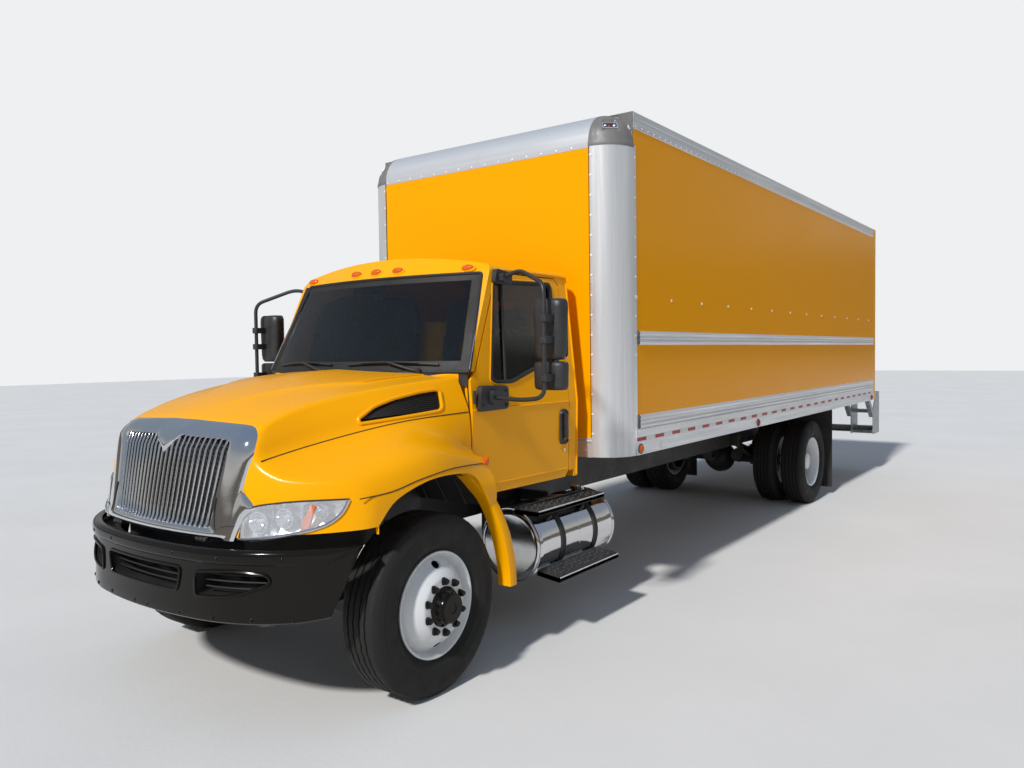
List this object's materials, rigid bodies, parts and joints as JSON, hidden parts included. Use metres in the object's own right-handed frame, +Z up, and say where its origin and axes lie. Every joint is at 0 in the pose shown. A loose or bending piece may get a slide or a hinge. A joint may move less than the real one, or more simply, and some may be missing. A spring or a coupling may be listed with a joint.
{
  "type": "box truck",
  "caption": "Box truck with a conventional cab, tilting hood, opening doors, steered front wheels and a long aluminium-framed load body in yellow.",
  "frame": {"origin": "on the ground, in the middle of the truck's length and width", "axes": "+X towards the truck's left, +Y towards its rear, +Z up; the truck faces -Y"},
  "size_m": [2.958, 11.252, 3.6899],
  "materials": {
    "yellow_paint": "gloss",
    "black_paint": "gloss",
    "frame_paint": "satin",
    "white_paint": "gloss",
    "chrome": "polished",
    "aluminium": "satin",
    "polished_aluminium": "polished",
    "galvanised": "satin",
    "cast_metal": "matte",
    "tyre_rubber": "matte",
    "flap_rubber": "matte",
    "black_plastic": "matte",
    "dash_plastic": "matte",
    "seat_cloth": "matte",
    "glass": "polished",
    "lamp_clear": "gloss",
    "lamp_amber": "gloss",
    "deck_wood": "matte"
  },
  "bodies": {
    "chassis": {"frame": "frame_paint", "powertrain": "cast_metal", "front_axle": "frame_paint", "rear_axle": "frame_paint", "fuel_tank": "polished_aluminium", "tank_steps": "black_paint", "exhaust_box": "black_paint", "front_bumper": "black_paint", "radiator": "black_plastic", "cab_floor": "black_plastic", "cab_front": "yellow_paint", "cab_roof": "yellow_paint", "cab_rear": "yellow_paint", "windscreen": "glass", "back_window": "glass", "dashboard": "dash_plastic", "steering_wheel": "black_plastic", "driver_seat": "seat_cloth", "bench_seat": "seat_cloth", "roof_lamps": "lamp_amber", "box_floor": "deck_wood", "box_front_wall": "yellow_paint", "box_left_wall": "yellow_paint", "box_right_wall": "yellow_paint", "box_roof": "aluminium", "corner_post_left": "aluminium", "corner_post_right": "aluminium", "front_header": "aluminium", "side_rails_left": "aluminium", "side_rails_right": "aluminium", "rear_frame": "yellow_paint", "rear_door": "yellow_paint", "rear_guard": "galvanised", "mud_flap_left": "flap_rubber", "mud_flap_right": "flap_rubber"},
    "hood": {"hood": "yellow_paint", "grille": "chrome", "headlamp_left": "lamp_clear", "headlamp_right": "lamp_clear", "hood_vent_left": "black_plastic", "hood_vent_right": "black_plastic"},
    "door_left": {"door_left": "yellow_paint", "door_glass_left": "glass", "mirror_left": "black_plastic"},
    "door_right": {"door_right": "yellow_paint", "door_glass_right": "glass", "mirror_right": "black_plastic"},
    "knuckle_left": {"knuckle_left": "cast_metal"},
    "knuckle_right": {"knuckle_right": "cast_metal"},
    "tie_rod": {"tie_rod": "frame_paint"},
    "wheel_front_left": {"tyre_front_left": "tyre_rubber", "rim_front_left": "white_paint"},
    "wheel_front_right": {"tyre_front_right": "tyre_rubber", "rim_front_right": "white_paint"},
    "wheels_rear_left": {"tyre_rear_left_outer": "tyre_rubber", "tyre_rear_left_inner": "tyre_rubber", "rims_rear_left": "white_paint"},
    "wheels_rear_right": {"tyre_rear_right_outer": "tyre_rubber", "tyre_rear_right_inner": "tyre_rubber", "rims_rear_right": "white_paint"}
  },
  "joints": [
    {"name": "hood_hinge", "type": "hinge", "parent": "chassis", "child": "hood", "pos_m": [0, -5.501, 0.98], "axis": [1, 0, 0], "range_deg": [0, 65]},
    {"name": "door_left_hinge", "type": "hinge", "parent": "chassis", "child": "door_left", "pos_m": [0.985, -3.977, 1.7], "axis": [0, 0, -1], "range_deg": [0, 60]},
    {"name": "door_right_hinge", "type": "hinge", "parent": "chassis", "child": "door_right", "pos_m": [-0.985, -3.977, 1.7], "axis": [0, 0, 1], "range_deg": [0, 60]},
    {"name": "steer_left", "type": "hinge", "parent": "chassis", "child": "knuckle_left", "pos_m": [0.87, -4.521, 0.51], "axis": [0, 0, 1], "range_deg": [-38, 38]},
    {"name": "steer_right", "type": "hinge", "parent": "chassis", "child": "knuckle_right", "pos_m": [-0.87, -4.521, 0.51], "axis": [0, 0, 1], "range_deg": [-38, 38]},
    {"name": "tie_rod_joint", "type": "hinge", "parent": "knuckle_left", "child": "tie_rod", "pos_m": [0.87, -4.341, 0.39], "axis": [0, 0, 1], "range_deg": [-38, 38]},
    {"name": "front_wheel_left_spin", "type": "hinge", "parent": "knuckle_left", "child": "wheel_front_left", "pos_m": [1.025, -4.521, 0.51], "axis": [1, 0, 0], "continuous": true},
    {"name": "front_wheel_right_spin", "type": "hinge", "parent": "knuckle_right", "child": "wheel_front_right", "pos_m": [-1.025, -4.521, 0.51], "axis": [1, 0, 0], "continuous": true},
    {"name": "rear_wheels_left_spin", "type": "hinge", "parent": "chassis", "child": "wheels_rear_left", "pos_m": [0.9145, 2.388, 0.51], "axis": [1, 0, 0], "continuous": true},
    {"name": "rear_wheels_right_spin", "type": "hinge", "parent": "chassis", "child": "wheels_rear_right", "pos_m": [-0.9145, 2.388, 0.51], "axis": [1, 0, 0], "continuous": true}
  ],
  "couplings": [
    {"joint": "steer_right", "follows": "steer_left", "ratio": 1},
    {"joint": "tie_rod_joint", "follows": "steer_left", "ratio": -1}
  ]
}
